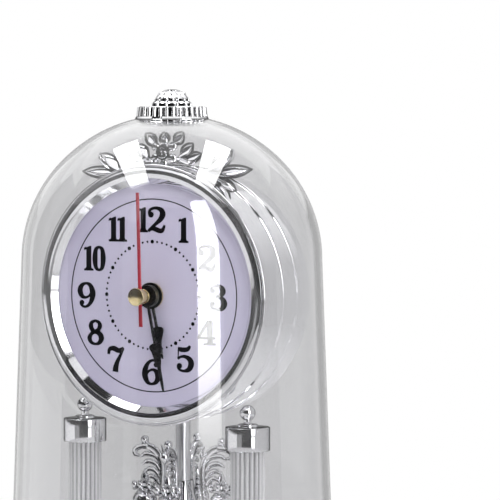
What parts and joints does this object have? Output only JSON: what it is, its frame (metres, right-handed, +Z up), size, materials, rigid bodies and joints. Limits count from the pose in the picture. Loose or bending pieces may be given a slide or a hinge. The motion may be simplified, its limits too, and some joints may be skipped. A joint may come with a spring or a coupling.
{
  "type": "bell jar desk clock",
  "caption": "Bell jar desk clock: chrome drum with lavender dial on a post between reeded clear columns, turning leaf pendulum, clear dome with finial.",
  "frame": {"origin": "on the plane of the feet, under the dome's axis", "axes": "+Z up, dial faces -Y, +X to the viewer's right"},
  "size_m": [0.1382, 0.1382, 0.2296],
  "materials": {
    "chrome_plate": "bright plating on moulded plastic and thin metal",
    "dome_clear": "clear, very lightly smoked acrylic, polished",
    "column_clear": "clear acrylic rod, reeded",
    "dial_paper": "pale lavender print, matt",
    "hand_black": "black lacquer",
    "hand_red": "dark red lacquer",
    "brass_trim": "bright",
    "steel_bare": "bare",
    "plastic_black": "moulded, satin",
    "plastic_white": "moulded, satin",
    "rubber_feet": "matt",
    "cell_skin": "printed sleeve, plain",
    "board_green": "lacquered board",
    "coil_copper": "enamelled wire"
  },
  "bodies": {
    "stand": {"base_plinth": "chrome_plate", "base_deck": "chrome_plate", "bottom_cover": "plastic_black", "cover_screw_1": "steel_bare", "cover_screw_2": "steel_bare", "foot_1": "rubber_feet", "foot_2": "rubber_feet", "foot_3": "rubber_feet", "foot_4": "rubber_feet", "drive_battery": "cell_skin", "drive_contact_minus": "steel_bare", "drive_contact_plus": "steel_bare", "drive_motor": "steel_bare", "centre_post": "chrome_plate", "post_nut": "steel_bare", "column_left_base": "chrome_plate", "column_left_shaft": "column_clear", "column_left_cap": "chrome_plate", "column_right_base": "chrome_plate", "column_right_shaft": "column_clear", "column_right_cap": "chrome_plate", "drum_case": "chrome_plate", "bezel": "chrome_plate", "dial_plate": "dial_paper", "crest": "chrome_plate", "movement_case": "plastic_black", "movement_lid": "plastic_black", "dial_nut": "brass_trim", "movement_battery": "cell_skin", "movement_board": "board_green", "stepper_coil": "coil_copper"},
    "hatch": {"battery_hatch": "plastic_black"},
    "dome": {"dome_shell": "dome_clear", "finial_skirt": "chrome_plate", "finial_bud": "chrome_plate", "finial_screw": "steel_bare"},
    "pendulum": {"pendulum_hub": "chrome_plate", "pendulum_arm_1": "chrome_plate", "pendulum_orb_1": "chrome_plate", "pendulum_arm_2": "chrome_plate", "pendulum_orb_2": "chrome_plate", "pendulum_arm_3": "chrome_plate", "pendulum_orb_3": "chrome_plate", "pendulum_arm_4": "chrome_plate", "pendulum_orb_4": "chrome_plate", "drive_gear": "plastic_white"},
    "drive": {"drive_pinion": "plastic_white"},
    "seconds": {"second_hand": "hand_red", "second_hand_cap": "brass_trim", "second_wheel": "plastic_white"},
    "third": {"third_wheel": "plastic_white"},
    "minutes": {"minute_hand": "hand_black", "centre_wheel": "brass_trim"},
    "motion": {"minute_wheel": "plastic_white", "setting_knob": "plastic_black"},
    "hours": {"hour_hand": "hand_black", "hour_wheel": "plastic_white"},
    "intermediate": {"intermediate_wheel": "plastic_white"},
    "rotor": {"stepper_rotor": "steel_bare"}
  },
  "joints": [
    {"name": "hatch_drop", "type": "slide", "parent": "stand", "child": "hatch", "axis": [0, 0, -1], "range_m": [0, 0.015]},
    {"name": "dome_lift", "type": "slide", "parent": "stand", "child": "dome", "axis": [0, 0, 1], "range_m": [0, 0.21]},
    {"name": "pendulum_spin", "type": "hinge", "parent": "stand", "child": "pendulum", "pos_m": [0, 0.007, 0], "axis": [0, 0, 1], "continuous": true},
    {"name": "drive_spin", "type": "hinge", "parent": "stand", "child": "drive", "pos_m": [0.016, 0.007, 0], "axis": [0, 0, 1], "continuous": true},
    {"name": "second_turn", "type": "hinge", "parent": "stand", "child": "seconds", "pos_m": [0, 0, 0.1615], "axis": [0, 1, 0], "continuous": true},
    {"name": "third_turn", "type": "hinge", "parent": "stand", "child": "third", "pos_m": [-0.00982, 0, 0.16717], "axis": [0, 1, 0], "continuous": true},
    {"name": "minute_turn", "type": "hinge", "parent": "stand", "child": "minutes", "pos_m": [0, 0, 0.1615], "axis": [0, 1, 0], "continuous": true},
    {"name": "motion_turn", "type": "hinge", "parent": "stand", "child": "motion", "pos_m": [0.01128, 0, 0.1656], "axis": [0, 1, 0], "continuous": true},
    {"name": "hour_turn", "type": "hinge", "parent": "stand", "child": "hours", "pos_m": [0, 0, 0.1615], "axis": [0, 1, 0], "continuous": true},
    {"name": "intermediate_turn", "type": "hinge", "parent": "stand", "child": "intermediate", "pos_m": [0.00206, 0, 0.1732], "axis": [0, 1, 0], "continuous": true},
    {"name": "rotor_turn", "type": "hinge", "parent": "stand", "child": "rotor", "pos_m": [0.01088, 0, 0.1732], "axis": [0, 1, 0], "continuous": true}
  ],
  "couplings": [
    {"joint": "drive_spin", "follows": "pendulum_spin", "ratio": -3},
    {"joint": "third_turn", "follows": "second_turn", "ratio": -0.13333},
    {"joint": "minute_turn", "follows": "second_turn", "ratio": 0.016667},
    {"joint": "motion_turn", "follows": "second_turn", "ratio": -0.0055556},
    {"joint": "hour_turn", "follows": "second_turn", "ratio": 0.0013889},
    {"joint": "intermediate_turn", "follows": "second_turn", "ratio": -5},
    {"joint": "rotor_turn", "follows": "second_turn", "ratio": 30}
  ]
}
